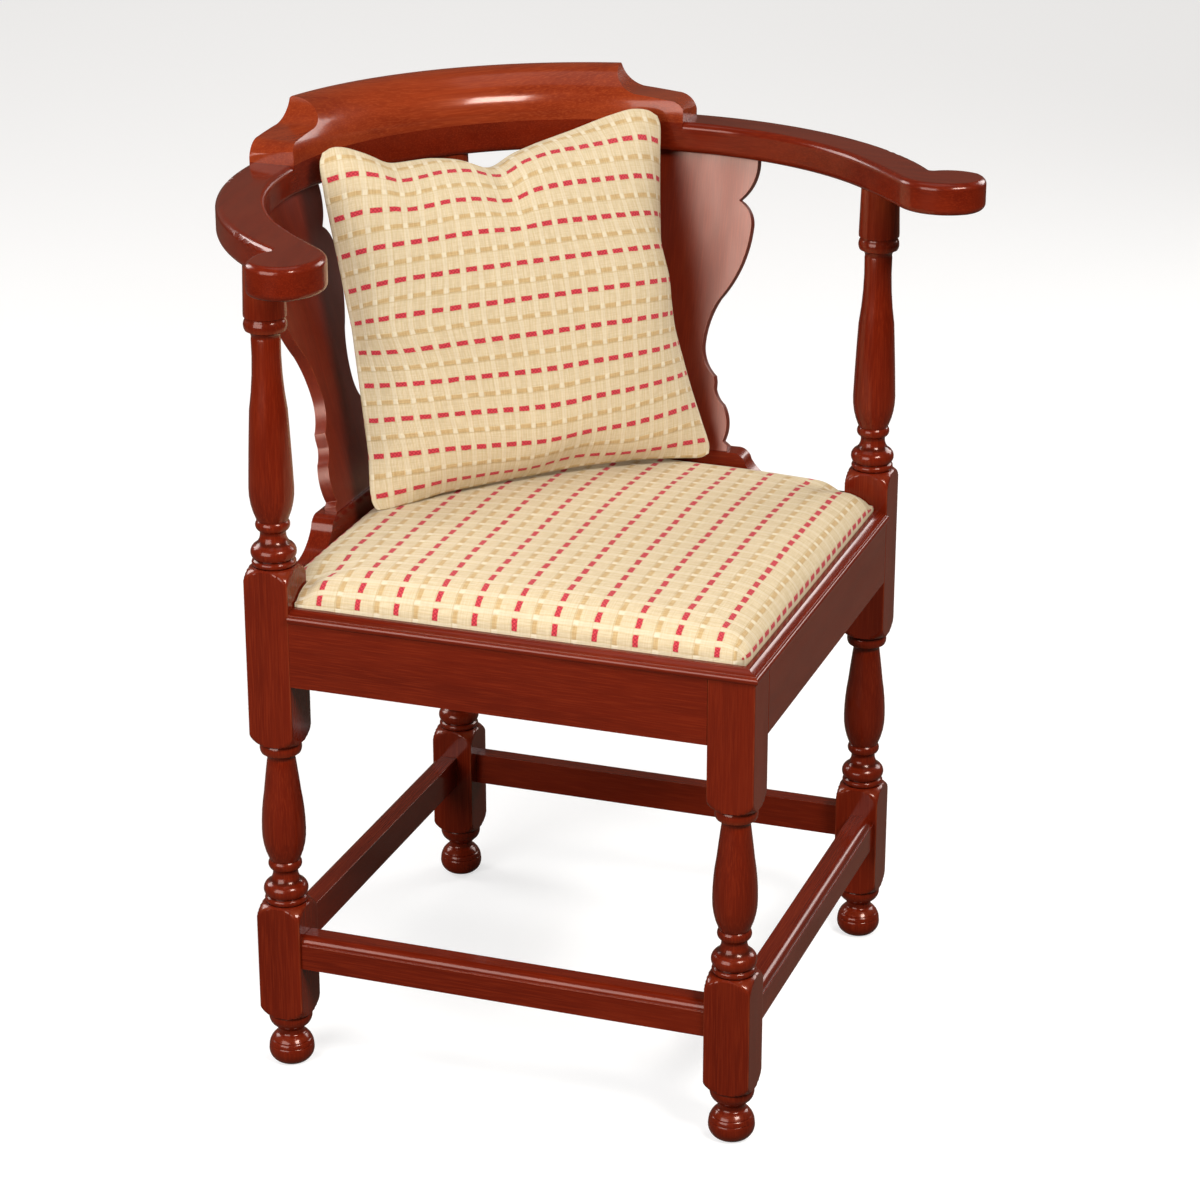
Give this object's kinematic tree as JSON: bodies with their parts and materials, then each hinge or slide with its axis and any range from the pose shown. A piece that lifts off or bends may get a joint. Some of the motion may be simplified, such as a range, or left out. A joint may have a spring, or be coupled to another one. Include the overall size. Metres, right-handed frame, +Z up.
{
  "type": "corner chair",
  "caption": "Wooden corner chair with turned legs, a curved arm rail with a raised crest, shaped back splats, a striped drop-in seat and a loose matching pillow.",
  "frame": {"origin": "centre of the chair's box on the floor", "axes": "+Z up, +Y towards the back post and crest rail, +X towards the chair's side post on the right of the picture"},
  "size_m": [0.6682, 0.6346, 0.797],
  "materials": {
    "lacquered_wood": "satin gloss red-brown lacquer",
    "plain_wood": "unfinished",
    "screw_steel": "plain",
    "webbing": "woven jute",
    "foam": "upholstery foam",
    "striped_fabric": "ribbed weave with red and tan dashed rows",
    "lining_cloth": "thin plain weave",
    "filling": "fibre filling"
  },
  "bodies": {
    "chair_frame": {"leg_front": "lacquered_wood", "leg_left": "lacquered_wood", "leg_right": "lacquered_wood", "leg_back": "lacquered_wood", "seat_rail_front_left": "lacquered_wood", "seat_rail_front_right": "lacquered_wood", "seat_rail_back_left": "lacquered_wood", "seat_rail_back_right": "lacquered_wood", "seat_moulding_left": "lacquered_wood", "seat_moulding_right": "lacquered_wood", "stretcher_front_left": "lacquered_wood", "stretcher_front_right": "lacquered_wood", "stretcher_back_left": "lacquered_wood", "stretcher_back_right": "lacquered_wood", "splat_left": "lacquered_wood", "splat_right": "lacquered_wood", "splat_shoe_left": "lacquered_wood", "splat_shoe_right": "lacquered_wood", "arm_left": "lacquered_wood", "arm_right": "lacquered_wood", "crest_rail": "lacquered_wood", "corner_block_front": "plain_wood", "corner_block_left": "plain_wood", "corner_block_right": "plain_wood", "corner_block_back": "plain_wood", "corner_block_screws": "screw_steel", "crest_screws": "screw_steel"},
    "drop_in_seat": {"seat_frame_front_left": "plain_wood", "seat_frame_front_right": "plain_wood", "seat_frame_back_left": "plain_wood", "seat_frame_back_right": "plain_wood", "seat_webbing": "webbing", "seat_pad": "foam", "seat_cover": "striped_fabric", "seat_dust_cover": "lining_cloth"},
    "loose_pillow": {"pillow_cover": "striped_fabric", "pillow_insert": "filling"}
  },
  "joints": [
    {"name": "drop_in_seat_lift", "type": "slide", "parent": "chair_frame", "child": "drop_in_seat", "axis": [0, 0, 1], "range_m": [0, 0.075]},
    {"name": "pillow_lift", "type": "slide", "parent": "drop_in_seat", "child": "loose_pillow", "axis": [0, 0, 1], "range_m": [0, 0.35]}
  ]
}
